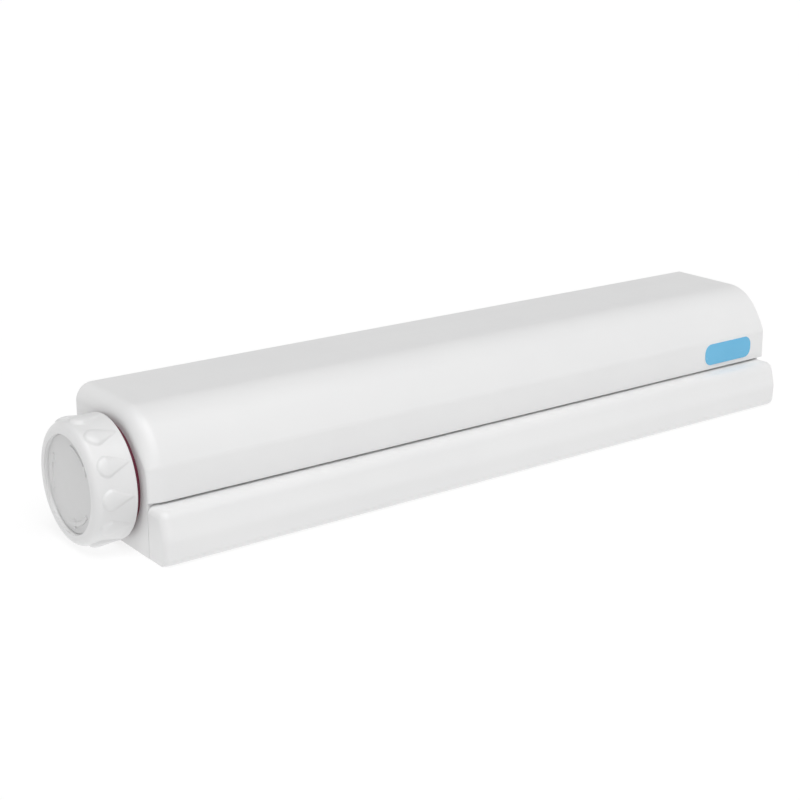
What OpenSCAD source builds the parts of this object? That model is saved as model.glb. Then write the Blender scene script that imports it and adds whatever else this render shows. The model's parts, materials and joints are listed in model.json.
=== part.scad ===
// Wall-mounted retractable clothesline.
// A casing on the wall holds a drum with five wound lines. A line bar, docked under the
// front of the casing, pulls all five lines out together. A knob on the left end winds
// them back, and locks the drum when it is pushed in.
// +X runs along the casing away from the knob, +Y points into the wall, +Z is up.
// The origin lies on the wall, at the middle of the four wall screw holes.

/* [Casing] */
// Length of the casing
casing_l = 400; // [396:1:420]
// Height of the casing
casing_h = 64; // [64:0.5:68]
// Depth of the flat top, from the wall to the start of the shoulder
top_d = 40; // [40:0.5:44]
// Radius of the shoulder at the front of the top
shoulder_r = 24; // [20:1:24]
// Radius of the long slope below the shoulder
slope_r = 60; // [50:1:70]
// Radius of the soft crease above the lower facet
crease_r = 6; // [3:0.5:8]
// Rounding of the casing's left end
end_round = 8; // [4:0.5:9]
// Wall thickness of the mouldings
wall = 2.4; // [2:0.1:2.6]

/* [Line bar] */
// Height of the line bar
bar_h = 25; // [24.5:0.1:25.5]
// Depth of the line bar, back to front
bar_d = 15.5; // [15:0.1:18]
// Shadow gap between the line bar and the casing above it
bar_gap = 1.2; // [0.8:0.1:1.6]
// Rounding of the line bar's two ends
bar_end_round = 4; // [2:0.5:5]

/* [Lines] */
// Diameter of each line
line_d = 3; // [2.6:0.1:3]
// Distance between neighbouring lines
line_pitch = 73; // [72:0.5:73]
// Turns of line side by side across one spool
turns_wide = 15; // [12:1:15]

/* [Drum] */
// Outer radius of a spool's core
core_r = 14; // [13.5:0.1:14]
// Outer radius of the spool flanges
flange_r = 25; // [24:0.1:25]
// Height of the drum's axis above the middle of the casing
axis_z = -2; // [-2.2:0.1:-1.8]
// Depth of the drum's axis in front of the wall
axis_d = 33; // [32.8:0.1:33.2]

/* [Knob] */
// Radius of the knob at its open rim
knob_r = 29; // [28.6:0.1:29.4]
// Length of the knob
knob_l = 19.6; // [19.6:0.1:21]
// Gap between the casing and the knob's rim when the knob is out
knob_gap = 2.8; // [2.6:0.1:3]
// Number of finger lugs, and of teeth on each half of the lock
lugs = 12; // [8:1:13]
// Radius of the knob over its finger lugs
lug_r = 29.9; // [29.7:0.1:30]

/* [Badge] */
// Length of the badge
badge_l = 38; // [30:1:44]
// Height of the badge
badge_h = 12; // [9:0.5:12]

/* [Hidden] */
LINES = [1, 2, 3, 4, 5];

$fn = 48;
eps = 0.02;
end_x = casing_l / 2;
half_h = casing_h / 2;
axis_y = -axis_d;
running = 0.06;

// Angles from straight up, turning to the front, where one arc of an outline ends
shoulder_turn = 50;
slope_turn = 64;
facet_turn = 88;

// The recess under the casing's front, where the line bar docks
recess_y = -64.2;
lip_z = bar_h + bar_gap - half_h;
bar_back = recess_y - 0.3;
bar_front_y = bar_back - bar_d;
bar_top = bar_h - half_h;
bar_wall = 1.8;

// Angles and radii of the line bar's front, and the height of its soft crease
bar_top_turn = 74;
bar_low_turn = 92;
bar_top_r = 5;
bar_crease_r = 12;
bar_low_r = 4.5;
bar_crease_z = -19.5;

// Lines: the third layer is half wound, and its last turn leaves the drum's underside
line_r = line_d / 2;
pack_l = turns_wide * line_d;
layer_r = [for (i = [0:2]) core_r + line_r + i * line_d];
run_z = axis_z - layer_r[2];
slot_w = 5;
slot_h = 13;
frame_y = bar_back - 0.5;
frame_t = 2;
knot_r = 3.2;
knot_y = frame_y - frame_t - knot_r - 0.1;

// Drum and its bearings
flange_t = 2;
bay_l = pack_l + 2;
hex_r = 7;
journal_r = 6;
drive_r = 5.95;
bracket_t = 5;
bracket_x = end_x - 13;
bush_r = 9;
bush_flange_t = 1;
plate_t = 3;
axle_shoulder = bracket_x - bush_flange_t - 0.3;

// Knob and lock, with distances along X counted outward from the casing's end
knob_travel = 2.2;
rim_out = knob_gap;
face_out = knob_gap + knob_l;
disc_r = 0.78 * knob_r;
disc_set_back = 1.8;
disc_t = 1;
floor_out = face_out - disc_set_back - disc_t;
ring_flange_t = 1.8;
crown_out = 6.5;
crown_in = 20;
crown_r = 24.8;
tooth_h = 1.8;
tooth_turn = 360 / lugs * 0.43;
clutch_out = crown_out + 2 * tooth_h + 0.5;
clutch_t = 2;
drive_out = 14;
hub_r = 10;
lug_end_r = 4.8;
lug_l = 14.7;
face_round = 3.8;
side_taper = 0.8;

function normal(a) = [-sin(a), cos(a)];
function arc(c, r, a0, a1, n) = [for (i = [0:n]) c + r * normal(a0 + (a1 - a0) * i / n)];

// Arc centres of the casing's outline, each found from the end of the arc before it
shoulder_c = [-top_d, half_h - shoulder_r];
slope_c = shoulder_c + (shoulder_r - slope_r) * normal(shoulder_turn);
crease_c = slope_c + (slope_r - crease_r) * normal(slope_turn);
facet_top = crease_c + crease_r * normal(facet_turn);
lip_y = facet_top[0] - (facet_top[1] - lip_z) * tan(90 - facet_turn);

// Arc centres of the line bar's outline, worked out from its front crease
bar_crease = [bar_front_y, bar_crease_z];
bar_mid_turn = (bar_top_turn + bar_low_turn) / 2;
bar_crease_c = bar_crease - bar_crease_r / cos(bar_mid_turn - bar_top_turn) * normal(bar_mid_turn);
bar_top_cz = bar_top - bar_top_r;
bar_top_run = bar_top_cz + bar_top_r * cos(bar_top_turn) - bar_crease_z;
bar_top_c = [bar_front_y + bar_top_run * tan(90 - bar_top_turn) + bar_top_r * sin(bar_top_turn),
             bar_top_cz];
bar_low_cz = bar_low_r - half_h;
bar_low_run = bar_crease_z - bar_low_cz - bar_low_r * cos(bar_low_turn);
bar_low_c = [bar_front_y + bar_low_run * tan(bar_low_turn - 90) + bar_low_r * sin(bar_low_turn),
             bar_low_cz];

function line_x(i) = (i - 3) * line_pitch;

// Outline of the casing, set in by t at the top and the front, and by lip_t at the lip
function cover_outline(t, lip_t, back, floor) = concat(
  [[back, half_h - t]],
  arc(shoulder_c, shoulder_r - t, 0, shoulder_turn, 6),
  arc(slope_c, slope_r - t, shoulder_turn, slope_turn, 3),
  arc(crease_c, crease_r - min(t, crease_r - 0.5), slope_turn, facet_turn, 3),
  [[lip_y + lip_t, lip_z], [lip_y + lip_t, floor], [back, floor]]
);

// Outline of the line bar, set in by t all round but at the back
function bar_outline(t, back) = concat(
  [[back, bar_top - t]],
  arc(bar_top_c, bar_top_r - t, 0, bar_top_turn, 6),
  arc(bar_crease_c, bar_crease_r - t, bar_top_turn, bar_low_turn, 3),
  arc(bar_low_c, bar_low_r - t, bar_low_turn, 180, 6),
  [[back, t - half_h]]
);

module along_x(x0, x1) {
  translate([x0, 0, 0]) rotate([90, 0, 90]) linear_extrude(x1 - x0) children();
}

// Rod on the drum's axis
module rod(x0, x1, r, sides = 64) {
  translate([x0, axis_y, axis_z]) rotate([0, 90, 0]) cylinder(h = x1 - x0, r = r, $fn = sides);
}

module tube(x0, x1, r_in, r_out) {
  difference() {
    rod(x0, x1, r_out);
    rod(x0 - 1, x1 + 1, r_in);
  }
}

module box(lo, hi) {
  translate(lo) cube(hi - lo);
}

// Rod that points to the front, from depth y0 to depth y1
module front_rod(x, z, y0, y1, r0, r1) {
  translate([x, y0, z]) rotate([90, 0, 0]) cylinder(h = y0 - y1, r1 = r0, r2 = r1);
}

module left(out) {
  translate([-end_x - out, axis_y, axis_z]) rotate([0, 90, 0]) children();
}

// ---- casing ----

module cover_form(t, back, floor, round) {
  hull() {
    for (a = [0:18:90])
      along_x(t - end_x + round * (1 - cos(a)), t - end_x + round * (1 - cos(a)) + eps)
        polygon(cover_outline(t + round * (1 - sin(a)), t + 0.4 * round * (1 - sin(a)), back, floor));
    along_x(end_x - t - eps, end_x - t) polygon(cover_outline(t, t, back, floor));
  }
}

module badge_form(y0, y1, grow) {
  r = 4.5;
  lx = badge_l / 2 - r;
  lz = badge_h / 2 - r;
  translate([end_x - 30, y0, (facet_top[1] + lip_z) / 2 + 1]) rotate([90, 0, 0])
    linear_extrude(y0 - y1) {
      for (sx = [-1, 1], sz = [-1, 1]) translate([sx * lx, sz * lz]) circle(r + grow);
      square([2 * lx, badge_h + 2 * grow], center = true);
      square([badge_l + 2 * grow, 2 * lz], center = true);
    }
}

module front_cover() {
  color("white") difference() {
    union() {
      cover_form(0, 0, -half_h, end_round);
      box([-end_x, recess_y, -half_h], [-end_x + end_round, 0, lip_z]);
    }
    difference() {
      cover_form(wall, 1, wall - half_h, end_round - wall);
      box([-end_x, -90, -half_h], [end_x, recess_y + wall, lip_z + wall]);
    }
    box([-end_x - 1, -90, -half_h - 1], [end_x + 1, recess_y, lip_z]);
    for (i = LINES)
      box([line_x(i) - slot_w / 2, recess_y - 1, run_z - 5],
          [line_x(i) + slot_w / 2, recess_y + wall + 1, run_z - 5 + slot_h]);
    rod(-end_x - 1, -end_x + wall + 1, 20);
    badge_form(lip_y + 1, lip_y - 2, 0.1);
    for (s = [-1, 1]) translate([s * (end_x - 20), -8, -half_h - 1]) {
      cylinder(h = wall + 2, r = 1.7);
      cylinder(h = 2.2, r1 = 4.2, r2 = 3.0);
    }
  }
}

module badge() {
  color("skyblue") badge_form(lip_y + 0.95, lip_y - 0.4, 0);
}

module back_plate() {
  hole_x = 1.5 * line_pitch;
  plate_x = end_x - wall - 0.2;
  plate_z = half_h - wall - 0.2;
  color("gainsboro") difference() {
    union() {
      rotate([90, 0, 0]) linear_extrude(plate_t)
        rounded([-plate_x, -plate_z], [plate_x, plate_z], end_round - wall + 0.4);
      for (z = [-1, 1])
        box([-bracket_x + 14, -plate_t - 4, z * (plate_z - 2) - 0.8],
            [bracket_x - 14, 0, z * (plate_z - 2) + 0.8]);
      for (s = [-1, 1])
        box([s * (end_x - 20) - 5, -plate_t - 10, -plate_z], [s * (end_x - 20) + 5, 0, -20]);
    }
    for (sx = [-1, 1], sz = [-1, 1]) {
      front_rod(sx * hole_x, sz * 22, 1, -plate_t - 5, 2.6, 2.6);
      front_rod(sx * hole_x, sz * 22, -plate_t + 1.8, -plate_t - 0.2, 2.6, 4.8);
      front_rod(sx * (bracket_x - 8), axis_z + sz * 9, -0.6, -plate_t - 1, 1.52, 1.52);
    }
    for (s = [-1, 1])
      translate([s * (end_x - 20), -8, -half_h]) cylinder(h = casing_h / 2 - 22, r = 1.52);
  }
}

// Bearing bracket for the right end; the left one is its mirror image
module bracket() {
  difference() {
    union() {
      rod(bracket_x, bracket_x + bracket_t, 19);
      box([bracket_x, axis_y, axis_z - 15], [bracket_x + bracket_t, -plate_t, axis_z + 15]);
      box([bracket_x - 13, -plate_t - 3, axis_z - 15], [bracket_x, -plate_t, axis_z + 15]);
    }
    rod(bracket_x - 1, bracket_x + bracket_t + 1, bush_r + eps);
    for (sz = [-1, 1])
      front_rod(bracket_x - 8, axis_z + sz * 9, -plate_t + 1, -plate_t - 4, 1.7, 1.7);
  }
}

module left_bracket() {
  color("gainsboro") difference() {
    mirror([1, 0, 0]) bracket();
    for (i = [0:2]) left(-9.5 - bracket_t) rotate([0, 0, 60 + 120 * i]) translate([16, 0, 0])
      mirror([0, 0, 1]) cylinder(h = bracket_t + 2, r = 1.42);
  }
}

module right_bracket() {
  color("gainsboro") bracket();
}

module bush() {
  difference() {
    union() {
      rod(bracket_x, bracket_x + bracket_t, bush_r);
      rod(bracket_x - bush_flange_t, bracket_x, 11);
    }
    rod(bracket_x - 2, bracket_x + bracket_t + 1, journal_r + running);
  }
}

module left_bush() {
  color("ivory") mirror([1, 0, 0]) bush();
}

module right_bush() {
  color("ivory") bush();
}

module screw(head_r, head_h, shank_r, shank_l) {
  difference() {
    cylinder(h = head_h, r = head_r);
    for (a = [0, 90]) rotate([0, 0, a])
      translate([0, 0, head_h]) cube([head_r * 1.1, 0.7, 1.4], center = true);
  }
  translate([0, 0, -shank_l]) cylinder(h = shank_l, r = shank_r);
}

module bracket_screws() {
  color("silver") for (sx = [-1, 1], sz = [-1, 1])
    translate([sx * (bracket_x - 8), -plate_t - 3, axis_z + sz * 9]) rotate([90, 0, 0])
      screw(3, 1.8, 1.5, 5);
}

module cover_screws() {
  color("silver") for (s = [-1, 1]) translate([s * (end_x - 20), -8, -half_h])
    mirror([0, 0, 1]) translate([0, 0, -1.2]) screw(2.9, 1.2, 1.5, 7.5);
}

// One half of the face teeth, from x0 to x1: the full ring less the gaps between its teeth
module toothed_tube(x0, x1, gap_x0, gap_x1, phase) {
  gap_turn = 180 / lugs - tooth_turn / 2;
  difference() {
    tube(x0, x1, crown_in, crown_r);
    for (i = [0:lugs - 1])
      translate([gap_x0, axis_y, axis_z]) rotate([0, 90, 0]) rotate([0, 0, phase + i * 360 / lugs])
        linear_extrude(gap_x1 - gap_x0) polygon([[15, -15 * tan(gap_turn)], [30, -30 * tan(gap_turn)],
          [30, 30 * tan(gap_turn)], [15, 15 * tan(gap_turn)]]);
  }
}

module lock_ring() {
  color("#7a2f45") difference() {
    union() {
      rod(-end_x, -bracket_x - bracket_t, 19.95);
      rod(-end_x - ring_flange_t, -end_x, 25.5);
      toothed_tube(-end_x - crown_out - tooth_h, -end_x - 1, -end_x - crown_out - tooth_h - 1,
                   -end_x - crown_out, 0);
    }
    rod(-end_x - crown_out - 3, -bracket_x, 12);
    for (i = [0:2]) left(ring_flange_t + 1) rotate([0, 0, 60 + 120 * i]) translate([16, 0, 0]) {
      cylinder(h = 20, r = 1.6);
      cylinder(h = 3.2, r = 3);
    }
  }
}

module lock_ring_screws() {
  color("silver") for (i = [0:2]) left(ring_flange_t - 2.2) rotate([0, 0, 60 + 120 * i])
    translate([16, 0, 0]) mirror([0, 0, 1]) screw(2.8, 1.8, 1.4, 10.5);
}

// ---- drum ----

module drum_axle() {
  color("silver") difference() {
    union() {
      rod(-axle_shoulder, axle_shoulder, hex_r, 6);
      rod(-end_x, -axle_shoulder, journal_r);
      rod(-end_x - drive_out, -end_x, drive_r, 6);
      rod(axle_shoulder, end_x - 5.5, journal_r);
    }
    rod(-bracket_x + 15, end_x, 3.6);
    rod(-end_x - drive_out - 1, -end_x, 2.02);
    tube(end_x - 7.4, end_x - 6.6, 5, 8);
  }
}

module e_clip() {
  color("dimgray") difference() {
    tube(end_x - 7.35, end_x - 6.65, 5.02, 8);
    box([end_x - 8, axis_y - 9, axis_z - 2.2], [end_x - 6, axis_y - 4, axis_z + 2.2]);
  }
}

module knob_washer() {
  color("silver") tube(-end_x - drive_out - 0.8, -end_x - drive_out, 2.1, 6.4);
}

module knob_screw() {
  color("silver") left(drive_out + 0.8) mirror([0, 0, 1]) screw(3.6, 2, 2, 9);
}

module spool(i) {
  half = line_pitch / 2 - 0.1;
  outer = bay_l / 2 + flange_t;
  color("#7a2f45") translate([line_x(i), 0, 0]) difference() {
    union() {
      rod(-half, half, 10);
      rod(-outer, outer, core_r);
      for (s = [-1, 1]) rod(s * (outer - flange_t / 2) - flange_t / 2,
                            s * (outer - flange_t / 2) + flange_t / 2, flange_r);
    }
    rod(-half - 1, half + 1, hex_r + eps, 6);
    rod(-bay_l / 2 + 1, bay_l / 2 - 1, core_r - 2);
    translate([4 - bay_l / 2, axis_y, axis_z]) cylinder(h = core_r + 2, r = 1.7);
  }
}

// Two full layers of wound line, and the half of the third behind the last turn
module line_pack(i) {
  color("whitesmoke") translate([line_x(i), 0, 0]) difference() {
    union() {
      rod(-pack_l / 2, pack_l / 2, layer_r[1] + line_r - 0.05);
      rod(-pack_l / 2, -line_r - 0.2, layer_r[2] + line_r);
    }
    rod(-pack_l, pack_l, core_r + 0.05);
  }
}

module drum_knot(i) {
  color("whitesmoke") translate([line_x(i) + 4 - bay_l / 2, axis_y, axis_z + 9.5]) sphere(r = 2.35);
}

// ---- knob ----

// Outline of the knob as radius and distance out from the casing's end
function knob_outline() = concat(
  [[0, rim_out], [knob_r, rim_out]],
  [for (a = [0:15:90]) [knob_r - side_taper - face_round * (1 - cos(a)),
                        face_out - face_round * (1 - sin(a))]],
  [[0, face_out]]
);

// Outline of a finger lug, a drop shape whose point lies towards the casing
module lug_outline() {
  straight = lug_l - lug_end_r;
  turn = asin(lug_end_r / straight);
  translate([0, straight]) circle(lug_end_r);
  polygon([[0, 0], [lug_end_r * cos(turn), straight - lug_end_r * sin(turn)],
           [-lug_end_r * cos(turn), straight - lug_end_r * sin(turn)]]);
}

// Knob frame: local Z points outward, away from the casing
module knob_frame() {
  translate([-end_x, axis_y, axis_z]) rotate([0, -90, 0]) children();
}

module knob_cap() {
  color("white") knob_frame() difference() {
    union() {
      rotate_extrude($fn = 96) polygon(knob_outline());
      intersection() {
        translate([0, 0, rim_out + 1]) cylinder(h = knob_l - 2, r = lug_r, $fn = 96);
        for (i = [0:lugs - 1]) rotate([0, 0, 90 + i * 360 / lugs])
          translate([knob_r - 4, 0, rim_out + 1.8]) rotate([90, 0, 90]) linear_extrude(6)
            lug_outline();
      }
    }
    translate([0, 0, face_out - disc_set_back - disc_t]) cylinder(h = 5, r = disc_r + 0.1, $fn = 96);
    difference() {
      union() {
        translate([0, 0, rim_out - 1]) cylinder(h = clutch_out + clutch_t + 1.6 - rim_out, r = 26.2);
        translate([0, 0, rim_out]) cylinder(h = floor_out - 2 - rim_out, r = 24.3);
      }
      translate([0, 0, 7.5]) cylinder(h = 20, r = hub_r);
    }
    cylinder(h = drive_out - 0.05, r = drive_r + running, $fn = 6);
    translate([0, 0, drive_out - 0.05]) cylinder(h = 12, r = 6.7);
  }
}

// Face disc with three plain curved arrows for the winding direction
module knob_disc() {
  color("white") knob_frame() translate([0, 0, floor_out]) {
    cylinder(h = disc_t, r = disc_r, $fn = 96);
    for (a = [70, 190, 310]) rotate([0, 0, a]) translate([0, 0, disc_t]) {
      rotate_extrude(angle = 42, $fn = 96) translate([17.2, 0]) square([1.8, 0.4]);
      linear_extrude(0.4) polygon([[15.6, 0.2], [20.6, 0.2], [18.1, -4.2]]);
    }
  }
}

module knob_clutch() {
  plate_out = clutch_out + clutch_t;
  color("#7a2f45") union() {
    tube(-end_x - plate_out, -end_x - clutch_out, hub_r + eps, crown_in + 1);
    toothed_tube(-end_x - plate_out, -end_x - clutch_out + tooth_h, -end_x - clutch_out,
                 -end_x - clutch_out + tooth_h + 1, 180 / lugs);
  }
}

// ---- line bar ----

// Rectangle from lo to hi with corners of radius r
module rounded(lo, hi, r) {
  for (x = [lo[0] + r, hi[0] - r], y = [lo[1] + r, hi[1] - r]) translate([x, y]) circle(r);
  translate([lo[0] + r, lo[1]]) square([hi[0] - lo[0] - 2 * r, hi[1] - lo[1]]);
  translate([lo[0], lo[1] + r]) square([hi[0] - lo[0], hi[1] - lo[1] - 2 * r]);
}

module bar_front() {
  inner_x = end_x - bar_wall;
  color("white") difference() {
    intersection() {
      along_x(-end_x, end_x) polygon(bar_outline(0, bar_back));
      translate([0, 0, -half_h - 1]) linear_extrude(bar_h + 2)
        rounded([-end_x, bar_front_y], [end_x, bar_back + 20], bar_end_round);
      translate([0, bar_back + 1, 0]) rotate([90, 0, 0]) linear_extrude(bar_d + 2)
        rounded([-end_x, -half_h], [end_x, bar_top], bar_end_round);
    }
    along_x(-inner_x, inner_x) polygon(bar_outline(bar_wall, bar_back + 2));
  }
}

module bar_frame() {
  clear = bar_wall + 0.15;
  floor_z = clear - half_h;
  top_z = bar_top - clear;
  color("whitesmoke") difference() {
    union() {
      box([clear - end_x + 1, frame_y - frame_t, floor_z], [end_x - clear - 1, frame_y, top_z]);
      for (i = LINES, s = [-1, 1])
        box([line_x(i) + s * 26 - 0.7, frame_y - 9, floor_z + 3],
            [line_x(i) + s * 26 + 0.7, frame_y, top_z - 3.5]);
    }
    for (i = LINES) {
      box([line_x(i) - 20, frame_y - 20, top_z - 9], [line_x(i) + 20, frame_y + 1, top_z - 2]);
      front_rod(line_x(i), run_z, frame_y + 1, frame_y - 4, 1.9, 1.9);
    }
    for (i = [1:4])
      box([line_x(i) + line_pitch / 2 - 8, frame_y - 20, run_z - 4],
          [line_x(i) + line_pitch / 2 + 8, frame_y + 1, run_z + 3]);
    for (s = [-1, 1]) front_rod(s * (end_x - 12), -19.5, frame_y + 1, frame_y - 4, 1.52, 1.52);
  }
}

module bar_screws() {
  color("silver") for (s = [-1, 1]) translate([s * (end_x - 12), frame_y, -19.5])
    rotate([-90, 0, 0]) screw(2.6, 0.4, 1.5, 8);
}

module line_knot(i) {
  color("whitesmoke") difference() {
    translate([line_x(i), knot_y, run_z]) sphere(r = knot_r);
    front_rod(line_x(i), run_z, knot_y + 10, knot_y - 10, line_r + eps, line_r + eps);
  }
}

// The last turn on the spool, and the line's straight run out through the slot to its knot
module line_run(i) {
  color("whitesmoke") union() {
    translate([line_x(i), axis_y, axis_z]) rotate([0, 90, 0])
      rotate_extrude(angle = 345, $fn = 64) translate([layer_r[2], 0]) circle(line_r, $fn = 16);
    front_rod(line_x(i), run_z, axis_y, knot_y - 2, line_r, line_r);
  }
}

front_cover();
back_plate();
left_bracket();
right_bracket();
lock_ring();
left_bush();
right_bush();
bracket_screws();
lock_ring_screws();
cover_screws();
badge();
drum_axle();
e_clip();
knob_screw();
knob_washer();
spool(1);  // spool_1
spool(2);  // spool_2
spool(3);  // spool_3
spool(4);  // spool_4
spool(5);  // spool_5
line_pack(1);  // line_pack_1
line_pack(2);  // line_pack_2
line_pack(3);  // line_pack_3
line_pack(4);  // line_pack_4
line_pack(5);  // line_pack_5
drum_knot(1);  // drum_knot_1
drum_knot(2);  // drum_knot_2
drum_knot(3);  // drum_knot_3
drum_knot(4);  // drum_knot_4
drum_knot(5);  // drum_knot_5
knob_cap();
knob_disc();
knob_clutch();
bar_front();
bar_frame();
bar_screws();
line_knot(1);  // line_knot_1
line_knot(2);  // line_knot_2
line_knot(3);  // line_knot_3
line_knot(4);  // line_knot_4
line_knot(5);  // line_knot_5
line_run(1);  // line_run_1
line_run(2);  // line_run_2
line_run(3);  // line_run_3
line_run(4);  // line_run_4
line_run(5);  // line_run_5
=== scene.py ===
import json
import logging
import math
from dataclasses import dataclass
from enum import Enum

import bmesh
import bpy
from bmesh.types import BMesh, BMVert
from mathutils import Matrix, Vector


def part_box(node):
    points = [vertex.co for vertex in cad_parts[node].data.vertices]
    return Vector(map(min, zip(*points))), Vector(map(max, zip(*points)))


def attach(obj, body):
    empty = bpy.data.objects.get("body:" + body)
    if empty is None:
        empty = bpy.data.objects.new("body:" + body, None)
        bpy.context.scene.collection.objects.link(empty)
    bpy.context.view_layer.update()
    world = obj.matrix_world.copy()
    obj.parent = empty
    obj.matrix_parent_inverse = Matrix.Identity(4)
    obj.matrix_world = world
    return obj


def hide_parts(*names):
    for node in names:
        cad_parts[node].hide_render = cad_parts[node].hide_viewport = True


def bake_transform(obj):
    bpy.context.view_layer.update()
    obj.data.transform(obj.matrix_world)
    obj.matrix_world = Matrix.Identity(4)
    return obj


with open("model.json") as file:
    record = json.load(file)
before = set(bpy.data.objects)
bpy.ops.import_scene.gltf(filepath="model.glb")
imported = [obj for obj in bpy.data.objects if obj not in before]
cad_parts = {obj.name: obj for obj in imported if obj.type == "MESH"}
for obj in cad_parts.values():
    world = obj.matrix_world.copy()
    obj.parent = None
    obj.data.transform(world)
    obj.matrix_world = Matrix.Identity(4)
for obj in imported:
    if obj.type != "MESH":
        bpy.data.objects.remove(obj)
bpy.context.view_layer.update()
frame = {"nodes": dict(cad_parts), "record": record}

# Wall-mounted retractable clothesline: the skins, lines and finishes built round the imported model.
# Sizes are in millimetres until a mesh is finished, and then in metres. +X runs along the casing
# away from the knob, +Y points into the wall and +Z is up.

MM = 0.001
MERGE_DISTANCE = 0.0005
LINES = (1, 2, 3, 4, 5)
LINE_PITCH = 73.0
Colour = tuple[float, float, float]
log = logging.getLogger("clothesline")


class Body(Enum):
    """The bodies that a piece can ride on."""

    CASING = "casing"
    DRUM = "drum"
    KNOB = "knob"
    LINE_BAR = "line_bar"


class Course(Enum):
    """How a line lies, which decides where its braid pattern is read."""

    WOUND = "wound"
    STRAIGHT = "straight"
    KNOTTED = "knotted"


# ---- shader graphs ----


class Sock:
    """One output of a shader graph, with the arithmetic that its values need."""

    def __init__(self, graph: "Graph", socket: bpy.types.NodeSocket) -> None:
        """Wraps a socket.

        Args:
            graph: The graph that the socket belongs to.
            socket: The output socket.
        """
        self.graph = graph
        self.socket = socket

    def _math(self, operation: str, first: "Sock | float", second: "Sock | float" = 0.0) -> "Sock":
        """Adds a Math node.

        Args:
            operation: The node's operation.
            first: The first operand.
            second: The second operand.

        Returns:
            The node's result.
        """
        return self.graph.node("ShaderNodeMath", {"operation": operation}, {0: first, 1: second})

    def __add__(self, other: "Sock | float") -> "Sock":
        """Sum with another value."""
        return self._math("ADD", self, other)

    def __radd__(self, other: float) -> "Sock":
        """Sum with a number on the left."""
        return self._math("ADD", other, self)

    def __sub__(self, other: "Sock | float") -> "Sock":
        """Difference from another value."""
        return self._math("SUBTRACT", self, other)

    def __rsub__(self, other: float) -> "Sock":
        """Difference from a number on the left."""
        return self._math("SUBTRACT", other, self)

    def __mul__(self, other: "Sock | float") -> "Sock":
        """Product with another value."""
        return self._math("MULTIPLY", self, other)

    def __rmul__(self, other: float) -> "Sock":
        """Product with a number on the left."""
        return self._math("MULTIPLY", other, self)

    def __truediv__(self, other: "Sock | float") -> "Sock":
        """Quotient by another value."""
        return self._math("DIVIDE", self, other)

    def __gt__(self, other: "Sock | float") -> "Sock":
        """One where this value is the greater, else zero."""
        return self._math("GREATER_THAN", self, other)

    def __abs__(self) -> "Sock":
        """Size of the value without its sign."""
        return self._math("ABSOLUTE", self)

    def sin(self) -> "Sock":
        """Sine of the value, in radians."""
        return self._math("SINE", self)

    def wrapped(self, low: float, high: float) -> "Sock":
        """The value brought into a repeating range.

        Args:
            low: Lowest value of the range.
            high: Highest value of the range.

        Returns:
            The wrapped value.
        """
        return self.graph.node(
            "ShaderNodeMath", {"operation": "WRAP"}, {0: self, 1: high, 2: low}
        )

    def ramp(self, low: float, high: float) -> "Sock":
        """A smooth step from zero at low to one at high.

        Args:
            low: Value where the step starts.
            high: Value where the step ends.

        Returns:
            The stepped value.
        """
        return self.graph.node(
            "ShaderNodeMapRange",
            {"interpolation_type": "SMOOTHSTEP", "clamp": True},
            {"Value": self, "From Min": low, "From Max": high},
        )


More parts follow.
